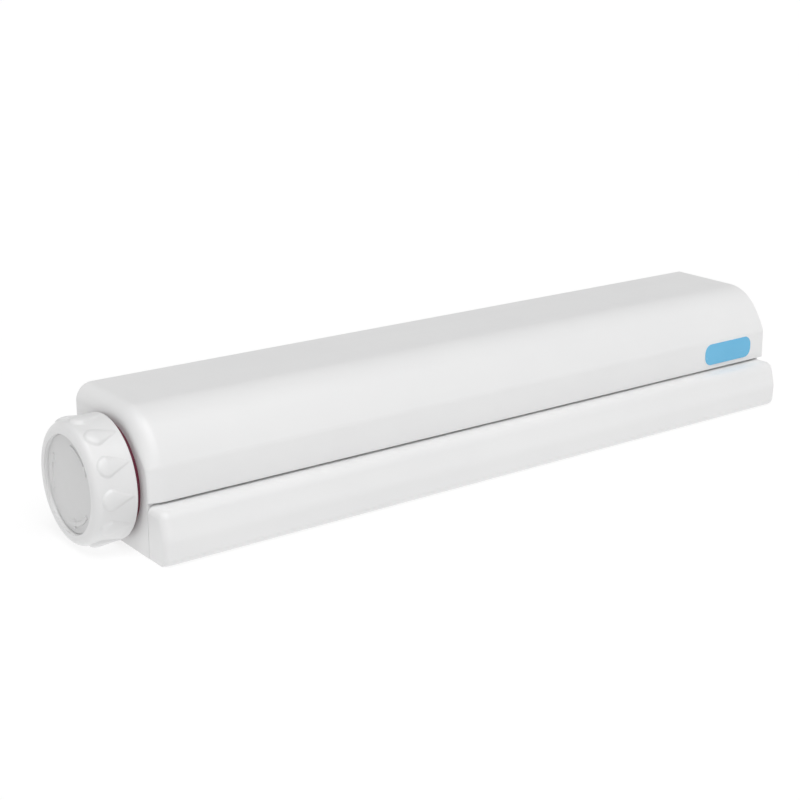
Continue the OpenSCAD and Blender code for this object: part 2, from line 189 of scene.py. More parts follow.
class Graph:
    """Builds the node tree of one material."""

    def __init__(self, name: str) -> None:
        """Starts an empty material with an output and a Principled shader.

        Args:
            name: Name of the material.
        """
        self.material = bpy.data.materials.new(name)
        self.material.use_nodes = True
        self.tree = self.material.node_tree
        self.tree.nodes.clear()
        self.shader = self.tree.nodes.new("ShaderNodeBsdfPrincipled")
        output = self.tree.nodes.new("ShaderNodeOutputMaterial")
        self.tree.links.new(self.shader.outputs[0], output.inputs["Surface"])

    def node(
        self,
        kind: str,
        settings: dict[str, object] | None = None,
        inputs: dict[int | str, object] | None = None,
        out: int | str = 0,
    ) -> Sock:
        """Adds any node, its settings first and then its sockets.

        Args:
            kind: The node's type.
            settings: Properties of the node; "stops" is a ramp's list of (place, colour).
            inputs: Values or links by socket name or number.
            out: Name or number of the output wanted.

        Returns:
            That output.
        """
        made = self.tree.nodes.new(kind)
        for key, value in (settings or {}).items():
            if key == "stops":
                self._stops(made.color_ramp, value)
            else:
                setattr(made, key, value)
        for key, value in (inputs or {}).items():
            self._feed(made.inputs[key], value)
        return Sock(self, made.outputs[out])

    @staticmethod
    def _stops(ramp: bpy.types.ColorRamp, stops: list[tuple[float, Colour]]) -> None:
        """Sets the stops of a colour ramp.

        Args:
            ramp: The ramp.
            stops: Places and their colours, in order.
        """
        while len(ramp.elements) < len(stops):
            ramp.elements.new(1.0)
        for element, (place, colour) in zip(ramp.elements, stops):
            element.position = place
            element.color = (*colour, 1.0)

    def _feed(self, socket: bpy.types.NodeSocket, value: object) -> None:
        """Links a socket to an output, or sets its value.

        Args:
            socket: The input socket.
            value: A Sock, a number, a vector or a colour.
        """
        if isinstance(value, Sock):
            self.tree.links.new(value.socket, socket)
        elif socket.type == "RGBA" and len(value) == 3:
            socket.default_value = (*value, 1.0)
        else:
            socket.default_value = value

    def principled(self, inputs: dict[str, object]) -> bpy.types.Material:
        """Feeds the Principled shader and hands over the finished material.

        Args:
            inputs: Values or links by socket name.

        Returns:
            The material.
        """
        for key, value in inputs.items():
            self._feed(self.shader.inputs[key], value)
        return self.material

    def place(self, stretch: Colour = (1.0, 1.0, 1.0), shift: Colour = (0.0, 0.0, 0.0)) -> Sock:
        """Object coordinates, moved and stretched by a Mapping node.

        Args:
            stretch: Factor along each axis.
            shift: Move along each axis, in metres after the stretch.

        Returns:
            The coordinates.
        """
        coordinates = self.node("ShaderNodeTexCoord", out="Object")
        return self.node(
            "ShaderNodeMapping",
            {"vector_type": "POINT"},
            {"Vector": coordinates, "Scale": stretch, "Location": shift},
        )

    def noise(self, vector: Sock, size: float, detail: float = 2.0, rough: float = 0.5) -> Sock:
        """Noise whose features have about the given size.

        Args:
            vector: Coordinates to read.
            size: Feature size in millimetres.
            detail: Octaves of finer noise.
            rough: Strength of each finer octave.

        Returns:
            The noise, about 0.5 in the mean.
        """
        return self.node(
            "ShaderNodeTexNoise",
            {"noise_dimensions": "3D", "normalize": True},
            {"Vector": vector, "Scale": 1.0 / (size * MM), "Detail": detail, "Roughness": rough},
        )

    def mix(self, factor: "Sock | float", first: object, second: object) -> Sock:
        """Mixes two colours.

        Args:
            factor: Share of the second colour.
            first: Colour or link at zero.
            second: Colour or link at one.

        Returns:
            The mixed colour.
        """
        return self.node(
            "ShaderNodeMix", {"data_type": "RGBA"}, {0: factor, 6: first, 7: second}, out=2
        )

    def bump(self, height: Sock, depth: float) -> Sock:
        """Normals of a fine relief.

        Args:
            height: Relief from zero to one.
            depth: Depth of the relief in millimetres.

        Returns:
            The bumped normal.
        """
        return self.node(
            "ShaderNodeBump", None, {"Height": height, "Distance": depth * MM, "Strength": 1.0}
        )

    def axes(self, vector: Sock) -> tuple[Sock, Sock, Sock]:
        """Splits coordinates into X, Y and Z.

        Args:
            vector: The coordinates.

        Returns:
            The three values.
        """
        return tuple(
            self.node("ShaderNodeSeparateXYZ", None, {"Vector": vector}, out=axis)
            for axis in ("X", "Y", "Z")
        )


# ---- finishes ----


@dataclass(frozen=True)
class MouldedPlastic:
    """Injection-moulded plastic: faint clouding, a fine mould texture and light handling marks."""

    name: str
    colour: Colour
    clouded: Colour
    roughness: float = 0.34
    peel_depth: float = 0.010
    peel_size: float = 1.6
    marks: float = 0.10
    ior: float = 1.48

    def build(self) -> bpy.types.Material:
        """Makes the material.

        Returns:
            The material.
        """
        g = Graph(self.name)
        place = g.place()
        cloud = g.noise(place, 46.0, detail=3.0).ramp(0.30, 0.72)
        flow = g.noise(g.place((0.16, 1.0, 1.0)), 9.0, detail=2.0).ramp(0.35, 0.70)
        speck = g.noise(place, 0.55, detail=1.0).ramp(0.62, 0.80)
        tint = g.mix(0.65 * cloud + 0.25 * flow, self.colour, self.clouded)
        tint = g.mix(speck * 0.22, tint, self.clouded)
        handled = g.noise(g.place((1.0, 0.25, 1.0)), 3.2, detail=4.0, rough=0.62)
        hairline = g.noise(g.place((0.05, 1.0, 1.0)), 0.5, detail=2.0).ramp(0.60, 0.74)
        rough = self.roughness + self.marks * handled.ramp(0.48, 0.74) + 0.05 * hairline
        peel = g.noise(place, self.peel_size, detail=2.0)
        grain = g.noise(place, 0.28, detail=1.0)
        relief = g.bump(0.75 * peel + 0.25 * grain, self.peel_depth)
        return g.principled(
            {"Base Color": tint, "Roughness": rough, "Normal": relief, "IOR": self.ior}
        )


@dataclass(frozen=True)
class Metal:
    """Bare or plated metal with the fine lines of its making, and a few dull spots."""

    name: str
    colour: Colour
    dulled: Colour
    lines: Colour
    roughness: float = 0.30
    line_depth: float = 0.012

    def build(self) -> bpy.types.Material:
        """Makes the material.

        Returns:
            The material.
        """
        g = Graph(self.name)
        drawn = g.noise(g.place(self.lines), 0.35, detail=3.0, rough=0.6)
        spots = g.noise(g.place(), 3.4, detail=4.0, rough=0.65).ramp(0.52, 0.76)
        tint = g.mix(spots * 0.7 + 0.2 * drawn, self.colour, self.dulled)
        rough = self.roughness + 0.16 * spots + 0.12 * drawn
        relief = g.bump(drawn, self.line_depth)
        return g.principled(
            {"Base Color": tint, "Roughness": rough, "Normal": relief, "Metallic": 1.0}
        )


@dataclass(frozen=True)
class BraidedLine:
    """White braided line: two sets of strands that cross, with painted shade darkening the gaps
    between them.
    """

    name: str
    course: Course
    colour: Colour = (0.80, 0.80, 0.78)
    # Grey of painted shade in the crevices between strands, also used as the tint of real dirt.
    gap_shade_and_dirt: Colour = (0.42, 0.42, 0.41)
    strands: float = 4.0
    braid_length: float = 3.6
    wound_length: float = 2200.0

    def build(self) -> bpy.types.Material:
        """Makes the material.

        Returns:
            The material.
        """
        g = Graph(self.name)
        along, round_turn = self._course(g)
        right = (along + self.strands * round_turn).sin()
        left = (along - self.strands * round_turn).sin()
        weave = abs(right) * 0.5 + abs(left) * 0.5
        strand = weave.ramp(0.18, 0.62)
        fuzz = g.noise(g.place(), 0.35, detail=3.0, rough=0.6)
        soiled = g.noise(g.place(), 14.0, detail=2.0).ramp(0.45, 0.75)
        # Painted shade: the gaps between strands are darkened to the gap colour; the next mix reuses
        # that colour for soiled patches of real dirt.
        tint = g.mix(strand * (0.75 + 0.25 * fuzz), self.gap_shade_and_dirt, self.colour)
        tint = g.mix(soiled * 0.18, tint, self.gap_shade_and_dirt)
        relief = g.bump(strand * 0.8 + fuzz * 0.2, 0.16)
        return g.principled(
            {"Base Color": tint, "Roughness": 0.62 + 0.2 * fuzz, "Normal": relief,
             "Sheen Weight": 0.25}
        )

    def _course(self, g: Graph) -> tuple[Sock, Sock]:
        """Place along the line and turn round it, both in radians of the braid.

        Args:
            g: The material's graph.

        Returns:
            The two values.
        """
        turn = 2.0 * math.pi
        if self.course is Course.WOUND:
            u, v, _ = g.axes(g.node("ShaderNodeTexCoord", out="UV"))
            return u * (turn * self.wound_length / self.braid_length), v * turn
        x, y, z = g.axes(g.place())
        if self.course is Course.KNOTTED:
            return (y + z) * (turn / (self.braid_length * MM)), x * (turn / (9.0 * MM))
        knot_low, knot_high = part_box("line_knot_3")
        beside = x.wrapped(-0.5 * LINE_PITCH * MM, 0.5 * LINE_PITCH * MM)
        above = z - (knot_low.z + knot_high.z) / 2
        angle = g.node("ShaderNodeMath", {"operation": "ARCTAN2"}, {0: above, 1: beside})
        return y * (turn / (self.braid_length * MM)), angle


# ---- mesh helpers ----


@dataclass(frozen=True)
class Extent:
    """Lowest and highest corner of a CAD node, in millimetres."""

    low: Vector
    high: Vector

    @classmethod
    def of(cls, node: str) -> "Extent":
        """Measures a node.

        Args:
            node: Name of the CAD node.

        Returns:
            Its extent.
        """
        low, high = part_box(node)
        return cls(low / MM, high / MM)

    @property
    def centre(self) -> Vector:
        """Middle of the extent."""
        return (self.low + self.high) / 2

    @property
    def size(self) -> Vector:
        """Length of each side."""
        return self.high - self.low


def outward(turn: float) -> Vector:
    """Unit direction in (y, z) that starts straight up and turns to the front.

    Args:
        turn: Angle in degrees.

    Returns:
        The direction.
    """
    return Vector((-math.sin(math.radians(turn)), math.cos(math.radians(turn))))


@dataclass(frozen=True)
class Arc:
    """One arc of an outline in (y, z), from one turn to another."""

    centre: Vector
    radius: float
    start: float
    stop: float
    steps: int

    def points(self) -> list[tuple[Vector, Vector]]:
        """Points of the arc, each with its outward direction."""
        turns = [self.start + (self.stop - self.start) * i / self.steps
                 for i in range(self.steps + 1)]
        return [(self.centre + self.radius * outward(t), outward(t)) for t in turns]


def sweep(bm: BMesh, rows: list[list[Vector]]) -> list[list[BMVert]]:
    """Extrudes an open chain of points along, one row of places after another.

    Args:
        bm: The mesh to build in.
        rows: Places of the chain's points at each station.

    Returns:
        The vertices of each row.
    """
    chain = [bm.verts.new(p) for p in rows[0]]
    edges = [bm.edges.new(pair) for pair in zip(chain, chain[1:])]
    made = [chain]
    for places in rows[1:]:
        fresh = set(bmesh.ops.extrude_edge_only(bm, edges=edges)["geom"])
        chain = [
            next(e.other_vert(v) for e in v.link_edges if e.other_vert(v) in fresh) for v in chain
        ]
        for vert, place in zip(chain, places):
            vert.co = place
        edges = [bm.edges.get(pair) for pair in zip(chain, chain[1:])]
        made.append(chain)
    return made


def close_end(bm: BMesh, row: list[BMVert]) -> None:
    """Closes a row of a swept skin with a flat end wall.

    Args:
        bm: The mesh.
        row: Vertices of the row.
    """
    edges = [bm.edges.get(pair) for pair in zip(row, row[1:])]
    edges.append(bm.edges.new((row[-1], row[0])))
    bmesh.ops.edgeloop_fill(bm, edges=edges)


def tidy_skin(bm: BMesh) -> None:
    """Merges doubled points and turns every face outward.

    Args:
        bm: The mesh, still in millimetres.
    """
    bmesh.ops.remove_doubles(bm, verts=bm.verts[:], dist=MERGE_DISTANCE)
    bmesh.ops.recalc_face_normals(bm, faces=bm.faces[:])


def spin_round(bm: BMesh, verts: list[BMVert], closed: bool, steps: int) -> None:
    """Spins a profile a full turn round local Z.

    Args:
        bm: The mesh.
        verts: The profile's vertices, in order.
        closed: Joins the last vertex to the first.
        steps: Steps round the turn.
    """
    ahead = verts[1:] + (verts[:1] if closed else [])
    edges = [bm.edges.new(pair) for pair in zip(verts, ahead)]
    bmesh.ops.spin(
        bm, geom=verts + edges, cent=(0, 0, 0), axis=(0, 0, 1), dvec=(0, 0, 0),
        angle=2 * math.pi, steps=steps, use_merge=True,
    )


def finish_piece(
    bm: BMesh,
    name: str,
    body: Body,
    finish: bpy.types.Material,
    replaced: tuple[str, ...] = (),
) -> bpy.types.Object:
    """Turns a mesh in millimetres into a piece in metres that rides on a body.

    Args:
        bm: The mesh, which is freed.
        name: Name of the piece.
        body: The body it moves with.
        finish: Its material.
        replaced: CAD nodes that it stands for.

    Returns:
        The piece.
    """
    bmesh.ops.scale(bm, vec=(MM, MM, MM), verts=bm.verts[:])
    for face in bm.faces:
        face.smooth = True
    mesh = bpy.data.meshes.new(name)
    bm.to_mesh(mesh)
    bm.free()
    return place_piece(mesh, name, body, finish, replaced)


def place_piece(
    mesh: bpy.types.Mesh,
    name: str,
    body: Body | None,
    finish: bpy.types.Material,
    replaced: tuple[str, ...] = (),
) -> bpy.types.Object:
    """Links a finished mesh as a piece.

    Args:
        mesh: The mesh, in metres.
        name: Name of the piece.
        body: The body it moves with, or None for a piece that rides on no body.
        finish: Its material.
        replaced: CAD nodes that it stands for.

    Returns:
        The piece.
    """
    mesh.materials.clear()
    mesh.materials.append(finish)
    piece = bpy.data.objects.new(name, mesh)
    bpy.context.scene.collection.objects.link(piece)
    if replaced:
        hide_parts(*replaced)
    if body is not None:
        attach(piece, body.value)
    log.info("%s: %d faces on %s", name, len(mesh.polygons), body.value if body else "a blend")
    return piece


def add_wall(piece: bpy.types.Object, thickness: float, even: bool) -> None:
    """Gives an open skin its wall, inward from the skin.

    Args:
        piece: The skin.
        thickness: Wall thickness in millimetres.
        even: Keeps the full thickness through sharp corners.
    """
    wall = piece.modifiers.new("wall", "SOLIDIFY")
    wall.thickness = thickness * MM
    wall.offset = -1.0
    wall.use_even_offset = even
    wall.use_rim = True


def soften_edges(piece: bpy.types.Object, width: float) -> None:
    """Rounds the sharp edges of a moulding and shades its flats flat.

    Args:
        piece: The piece.
        width: Width of the rounding in millimetres.
    """
    soft = piece.modifiers.new("soft_edges", "BEVEL")
    soft.width = width * MM
    soft.segments = 3
    soft.limit_method = "ANGLE"
    soft.angle_limit = math.radians(32)
    shade_flats(piece, weight=60)


def shade_flats(piece: bpy.types.Object, weight: int = 50) -> None:
    """Shades the broad faces of a piece as flats, and its roundings smoothly.

    Args:
        piece: The piece.
        weight: How much more a broad face counts than a narrow one.
    """
    shade = piece.modifiers.new("flat_shading", "WEIGHTED_NORMAL")
    shade.keep_sharp = False
    shade.weight = weight


# ---- casing ----


@dataclass
class CasingCover:
    """The front cover: one long moulding with a soft left end and a recess for the line bar."""

    top_depth: float = 40.0
    shoulder_radius: float = 24.0
    slope_radius: float = 60.0
    crease_radius: float = 6.0
    shoulder_turn: float = 50.0
    slope_turn: float = 64.0
    facet_turn: float = 88.0
    end_round: float = 8.0
    lip_share: float = 0.40
    fade_z: float = 5.0
    full_round_z: float = 25.0
    wall: float = 2.4
    recess_y: float = -64.2
    lip_z: float = -5.8
    facet_low_z: float = 1.0
    slot_half_width: float = 2.5
    slot_top: float = -15.5
    slot_bottom: float = -28.5

    def __post_init__(self) -> None:
        """Reads the casing's size and works out its arcs."""
        self.extent = Extent.of("front_cover")
        top = self.extent.high.z
        shoulder = Vector((-self.top_depth, top - self.shoulder_radius))
        slope = shoulder + (self.shoulder_radius - self.slope_radius) * outward(self.shoulder_turn)
        crease = slope + (self.slope_radius - self.crease_radius) * outward(self.slope_turn)
        self.arcs = [
            Arc(shoulder, self.shoulder_radius, 0.0, self.shoulder_turn, 25),
            Arc(slope, self.slope_radius, self.shoulder_turn, self.slope_turn, 8),
            Arc(crease, self.crease_radius, self.slope_turn, self.facet_turn, 10),
        ]
        facet_top = crease + self.crease_radius * outward(self.facet_turn)
        lean = math.tan(math.radians(90.0 - self.facet_turn))
        self.lip_y = facet_top.x - (facet_top.y - self.lip_z) * lean
        self.facet_top = facet_top

    def facet_y(self, z: float) -> float:
        """Depth of the lower facet at a height.

        Args:
            z: Height.

        Returns:
            The facet's y there.
        """
        share = (self.facet_top.y - z) / (self.facet_top.y - self.lip_z)
        return self.facet_top.x + (self.lip_y - self.facet_top.x) * share

    def round_share(self, z: float) -> float:
        """How much of the left end's rounding is left at a height; it fades towards the lip.

        Args:
            z: Height.

        Returns:
            The share of the rounding.
        """
        rise = min(1.0, max(0.0, (z - self.fade_z) / (self.full_round_z - self.fade_z)))
        return self.lip_share + (1.0 - self.lip_share) * rise * rise * (3.0 - 2.0 * rise)

    def row(self, x: float, inset: float) -> list[Vector]:
        """The skin's outline at one station, from the wall over the top to the wall below.

        Args:
            x: Place along the casing.
            inset: How far the top and front are drawn in.

        Returns:
            The outline's points.
        """
        low = self.extent.low.z
        back = self.extent.high.y
        foot = self.facet_low_z
        points = [Vector((x, back, self.extent.high.z - inset))]
        for i, arc in enumerate(self.arcs):
            for place, way in arc.points()[1 if i else 0:]:
                place = place - inset * self.round_share(place.y) * way
                points.append(Vector((x, place.x, place.y)))
        corners = [
            (self.facet_y(foot) + inset * self.round_share(foot), foot),
            (self.lip_y + inset * self.lip_share, self.lip_z),
            (self.recess_y, self.lip_z),
            (self.recess_y, self.slot_top),
            (self.recess_y, self.slot_bottom),
            (self.recess_y, low),
            (back, low),
        ]
        return points + [Vector((x, y, z)) for y, z in corners]

    def stations(self) -> list[tuple[float, float]]:
        """Places along the casing and the inset there: the soft end, the slots, the right end."""
        left = self.extent.low.x
        turns = range(0, 91, 9)
        found = [
            (left + self.end_round * (1.0 - math.cos(math.radians(a))),
             self.end_round * (1.0 - math.sin(math.radians(a))))
            for a in turns
        ]
        for i in LINES:
            middle = (i - 3) * LINE_PITCH
            found += [(middle - self.slot_half_width, 0.0), (middle + self.slot_half_width, 0.0)]
        return found + [(self.extent.high.x, 0.0)]

    def build(self, finish: bpy.types.Material) -> bpy.types.Object:
        """Makes the cover.

        Args:
            finish: Its plastic.

        Returns:
            The piece.
        """
        bm = bmesh.new()
        rows = sweep(bm, [self.row(x, inset) for x, inset in self.stations()])
        close_end(bm, rows[0])
        close_end(bm, rows[-1])
        openings = [f for f in bm.faces if self._in_slot(f.calc_center_median(), f.normal)]
        bmesh.ops.delete(bm, geom=openings, context="FACES_ONLY")
        tidy_skin(bm)
        cover = finish_piece(
            bm, "cover_skin", Body.CASING, finish, ("front_cover",)
        )
        add_wall(cover, self.wall, even=False)
        soften_edges(cover, 0.5)
        return cover

    def _in_slot(self, middle: Vector, way: Vector) -> bool:
        """Tells whether a face of the recess closes one of the line slots.

        Args:
            middle: Centre of the face.
            way: Its normal.

        Returns:
            True for a face to take away.
        """
        beside = (middle.x + 2.5 * LINE_PITCH) % LINE_PITCH - 0.5 * LINE_PITCH
        return (
            abs(beside) < self.slot_half_width
            and abs(middle.x) < 2.5 * LINE_PITCH
            and abs(middle.y - self.recess_y) < 0.1
            and self.slot_bottom < middle.z < self.slot_top
        )


@dataclass
class Badge:
    """The plain blue badge on the lower facet, with a fine bezel moulded round it."""

    cover: CasingCover
    corner: float = 4.9
    sunk: float = 0.8
    proud: float = 0.45
    crown: float = 0.32
    bezel: float = 0.7
    bezel_sunk: float = 0.6
    bezel_proud: float = 0.16
    bezel_crown: float = 0.14

    def _plate(self, grow: float, corner: float, bottom: float, top: float, crown: float) -> BMesh:
        """A plate with round corners, seen along local Z.

        Args:
            grow: How far it stands out past the badge on each side.
            corner: Corner radius.
            bottom: Local height of its back.
            top: Local height of its face.
            crown: Rounding of the face's edge.

        Returns:
            The mesh.
        """
        size = Extent.of("badge").size
        bm = bmesh.new()
        bmesh.ops.create_grid(bm, x_segments=1, y_segments=1, size=0.5)
        stretch = Vector((size.x + 2 * grow, size.z + 2 * grow, 1.0))
        bmesh.ops.scale(bm, vec=stretch, verts=bm.verts[:])
        bmesh.ops.bevel(
            bm, geom=bm.verts[:], offset=corner, offset_type="OFFSET", segments=12,
            profile=0.5, affect="VERTICES", material=-1,
        )
        bmesh.ops.translate(bm, vec=(0, 0, bottom), verts=bm.verts[:])
        raised = bmesh.ops.extrude_face_region(bm, geom=bm.faces[:])["geom"]
        verts = [v for v in raised if isinstance(v, BMVert)]
        bmesh.ops.translate(bm, vec=(0, 0, top - bottom), verts=verts)
        bmesh.ops.recalc_face_normals(bm, faces=bm.faces[:])
        rim = [e for e in bm.edges if all(v.co.z > top - 0.01 for v in e.verts)]
        bmesh.ops.bevel(
            bm, geom=rim, offset=crown, offset_type="OFFSET", segments=4,
            profile=0.5, affect="EDGES", material=-1,
        )
        return bm

    def _stand(self, bm: BMesh) -> None:
        """Stands a plate on the facet, leaning as the facet does.

        Args:
            bm: The plate.
        """
        middle = Extent.of("badge").centre
        lean = math.radians(90.0 - self.cover.facet_turn)
        turn = Matrix.Rotation(math.radians(90.0) - lean, 4, "X")
        shift = Matrix.Translation((middle.x, self.cover.facet_y(middle.z), middle.z))
        bmesh.ops.transform(bm, matrix=shift @ turn, verts=bm.verts[:])

    def build(self, blue: bpy.types.Material, white: bpy.types.Material) -> None:
        """Makes the badge and its bezel.

        Args:
            blue: The badge's finish.
            white: The bezel's finish.
        """
        plate = self._plate(0.0, self.corner, -self.sunk, self.proud, self.crown)
        self._stand(plate)
        shade_flats(
            finish_piece(plate, "badge_plate", Body.CASING, blue, ("badge",))
        )
        rim = self._plate(
            self.bezel, self.corner + self.bezel, -self.bezel_sunk, self.bezel_proud,
            self.bezel_crown,
        )
        self._stand(rim)
        shade_flats(finish_piece(rim, "badge_bezel", Body.CASING, white))


# ---- line bar ----


@dataclass
class LineBar:
    """The bar's front moulding: a long trough with a soft crease along its face."""

    top_turn: float = 74.0
    low_turn: float = 92.0
    top_radius: float = 5.0
    crease_radius: float = 12.0
    low_radius: float = 4.5
    crease_z: float = -19.5
    end_round: float = 4.0
    foot_share: float = 0.04
    wall: float = 1.8

    def __post_init__(self) -> None:
        """Reads the bar's size and works out its arcs."""
        self.extent = Extent.of("bar_front")
        front, top, low = self.extent.low.y, self.extent.high.z, self.extent.low.z
        middle = (self.top_turn + self.low_turn) / 2
        half_turn = math.cos(math.radians(middle - self.top_turn))
        crease = Vector((front, self.crease_z)) - self.crease_radius / half_turn * outward(middle)
        top_z = top - self.top_radius
        run = top_z + self.top_radius * math.cos(math.radians(self.top_turn)) - self.crease_z
        top_y = front + run * math.tan(math.radians(90.0 - self.top_turn))
        top_y += self.top_radius * math.sin(math.radians(self.top_turn))
        low_z = low + self.low_radius
        run = self.crease_z - low_z - self.low_radius * math.cos(math.radians(self.low_turn))
        low_y = front + run * math.tan(math.radians(self.low_turn - 90.0))
        low_y += self.low_radius * math.sin(math.radians(self.low_turn))
        self.arcs = [
            Arc(Vector((top_y, top_z)), self.top_radius, 0.0, self.top_turn, 14),
            Arc(crease, self.crease_radius, self.top_turn, self.low_turn, 8),
            Arc(Vector((low_y, low_z)), self.low_radius, self.low_turn, 180.0, 14),
        ]

    def row(self, x: float, inset: float) -> list[Vector]:
        """The trough's outline at one station, from the back of the top to the back of the foot.

        Args:
            x: Place along the bar.
            inset: How far the top and front are drawn in; the foot moves less.

        Returns:
            The outline's points.
        """
        back = self.extent.high.y
        points = [Vector((x, back, self.extent.high.z - inset))]
        for arc in self.arcs:
            for place, way in arc.points():
                drop = way.y if way.y > 0 else way.y * self.foot_share
                points.append(Vector((x, place.x - inset * way.x, place.y - inset * drop)))
        points.append(Vector((x, back, self.extent.low.z + inset * self.foot_share)))
        return points

    def build(self, finish: bpy.types.Material) -> bpy.types.Object:
        """Makes the bar's front.

        Args:
            finish: Its plastic.

        Returns:
            The piece.
        """
        turns = [math.radians(a) for a in (0, 12, 24, 36, 48, 60, 75, 90)]
        left = [(self.end_round * (1 - math.cos(a)), self.end_round * (1 - math.sin(a)))
                for a in turns]
        low, high = self.extent.low.x, self.extent.high.x
        stations = [(low + d, t) for d, t in left] + [(high - d, t) for d, t in reversed(left)]
        bm = bmesh.new()
        rows = sweep(bm, [self.row(x, inset) for x, inset in stations])
        close_end(bm, rows[0])
        close_end(bm, rows[-1])
        tidy_skin(bm)
        bar = finish_piece(
            bm, "bar_skin", Body.LINE_BAR, finish, ("bar_front",)
        )
        add_wall(bar, self.wall, even=True)
        soften_edges(bar, 0.4)
        return bar


# ---- knob ----


@dataclass
class Knob:
    """The winding knob: a shell with finger lugs and the face set into it, local Z outward."""

    rim_taper: float = 0.8
    rim_chamfer: float = 0.5
    face_round: float = 3.8
    side_rows: int = 34
    pocket_depth: float = 2.8
    pocket_gap: float = 0.12
    disc_set_back: float = 1.8
    disc_edge: float = 0.5
    skirt_radius: float = 26.2
    skirt_depth: float = 10.4
    web_radius: float = 23.9
    web_height: float = 14.8
    hub_radius: float = 10.0
    hub_foot: float = 4.7
    bore_radius: float = 6.05
    bore_depth: float = 11.15
    screw_radius: float = 6.7
    lug_count: int = 12
    lug_phase: float = 90.0
    lug_start: float = 1.6
    lug_length: float = 15.0
    lug_half_width: float = 4.9
    lug_reach: float = 0.9
    lug_point: float = 0.25
    lug_fullness: float = 2.6
    lug_skin: float = 2.2
    arrow_starts: tuple[float, ...] = (70.0, 190.0, 310.0)
    arrow_radius: float = 18.1
    arrow_rise: float = 0.6
    arrow_slope: float = 0.35
    head_turn: float = 14.0
    head_half: float = 2.1
    shaft_turn: float = 42.0
    shaft_half: float = 0.75
    steps_round: int = 480

    def __post_init__(self) -> None:
        """Reads the knob's size, and stands its own frame on its open rim."""
        self.extent = Extent.of("knob_cap")
        self.radius = self.extent.size.z / 2 - self.lug_reach
        self.length = self.extent.size.x
        self.disc_radius = Extent.of("knob_disc").size.z / 2
        turn = Matrix(((0, 0, -1, 0), (0, 1, 0, 0), (1, 0, 0, 0), (0, 0, 0, 1)))
        centre = self.extent.centre
        self.frame = Matrix.Translation((self.extent.high.x, centre.y, centre.z)) @ turn

    def _profile(self) -> list[Vector]:
        """Closed outline of the shell as (radius, 0, height above the open rim)."""
        top, radius, edge, fillet = self.length, self.radius, self.rim_chamfer, 0.4
        side = radius - self.rim_taper
        floor = top - self.pocket_depth
        pocket = self.disc_radius + self.pocket_gap
        points = [(self.screw_radius, floor), (pocket, floor)]
        points += [(pocket, top - 0.25), (pocket + 0.07, top - 0.08)]
        turns = [math.radians(4.5 * i) for i in range(21)]
        points += [
            (side - self.face_round * (1 - math.sin(a)), top - self.face_round * (1 - math.cos(a)))
            for a in turns
        ]
        for i in range(1, self.side_rows):
            share = i / self.side_rows
            points.append((side + self.rim_taper * share,
                           (top - self.face_round) * (1 - share) + edge * share))
        skirt, web, hub = self.skirt_radius, self.web_radius, self.hub_radius
        ledge, height = self.skirt_depth, self.web_height
        points += [(radius, edge), (radius - 0.14, 0.14), (radius - edge, 0.0)]
        points += [(skirt + 0.3, 0.0), (skirt, 0.3), (skirt, ledge), (web + fillet, ledge)]
        points += [(web + fillet, height - fillet), (web, height), (hub + fillet, height)]
        points += [(hub, height - fillet), (hub, self.hub_foot), (self.bore_radius, self.hub_foot)]
        points += [(self.bore_radius, self.bore_depth), (self.screw_radius, self.bore_depth)]
        return [Vector((r, 0.0, h)) for r, h in points]

    def _lug_share(self, along: float, across: float) -> float:
        """How far a point of the side stands out, on half a cone that points to the casing.

        Args:
            along: Distance from the lug's point towards the face.
            across: Distance from the lug's middle line.

        Returns:
            0 beside the lug, and up to 1 on its crown.
        """
        straight = self.lug_length - self.lug_half_width
        if along <= 0.0 or along >= self.lug_length:
            return 0.0
        if along < straight:
            off = abs(across) / (self.lug_half_width * along / straight)
            height = self.lug_point + (1.0 - self.lug_point) * along / straight
        else:
            off = math.hypot(along - straight, across) / self.lug_half_width
            height = 1.0
        return height * math.sqrt(max(0.0, 1.0 - off ** self.lug_fullness))

    def _raise_lugs(self, bm: BMesh) -> None:
        """Pulls the finger lugs out of the shell's side.

        Args:
            bm: The spun shell.
        """
        pitch = 360.0 / self.lug_count
        crown = self.radius + self.lug_reach
        for vert in bm.verts:
            reach = math.hypot(vert.co.x, vert.co.y)
            if reach < self.radius - self.lug_skin:
                continue
            turn = math.degrees(math.atan2(vert.co.y, vert.co.x)) - self.lug_phase
            off = (turn + 0.5 * pitch) % pitch - 0.5 * pitch
            along = vert.co.z - self.lug_start
            share = self._lug_share(along, math.radians(off) * self.radius)
            grow = 1.0 + share * (crown - reach) / reach
            vert.co.x *= grow
            vert.co.y *= grow

    def build_shell(self, finish: bpy.types.Material) -> bpy.types.Object:
        """Makes the shell with its finger lugs.

        Args:
            finish: Its plastic.

        Returns:
            The piece.
        """
        bm = bmesh.new()
        outline = [bm.verts.new(p) for p in self._profile()]
        spin_round(bm, outline, closed=True, steps=self.steps_round)
        tidy_skin(bm)
        self._raise_lugs(bm)
        bmesh.ops.transform(bm, matrix=self.frame, verts=bm.verts[:])
        shell = finish_piece(
            bm, "knob_shell", Body.KNOB, finish, ("knob_cap",)
        )
        shade_flats(shell)
        return shell

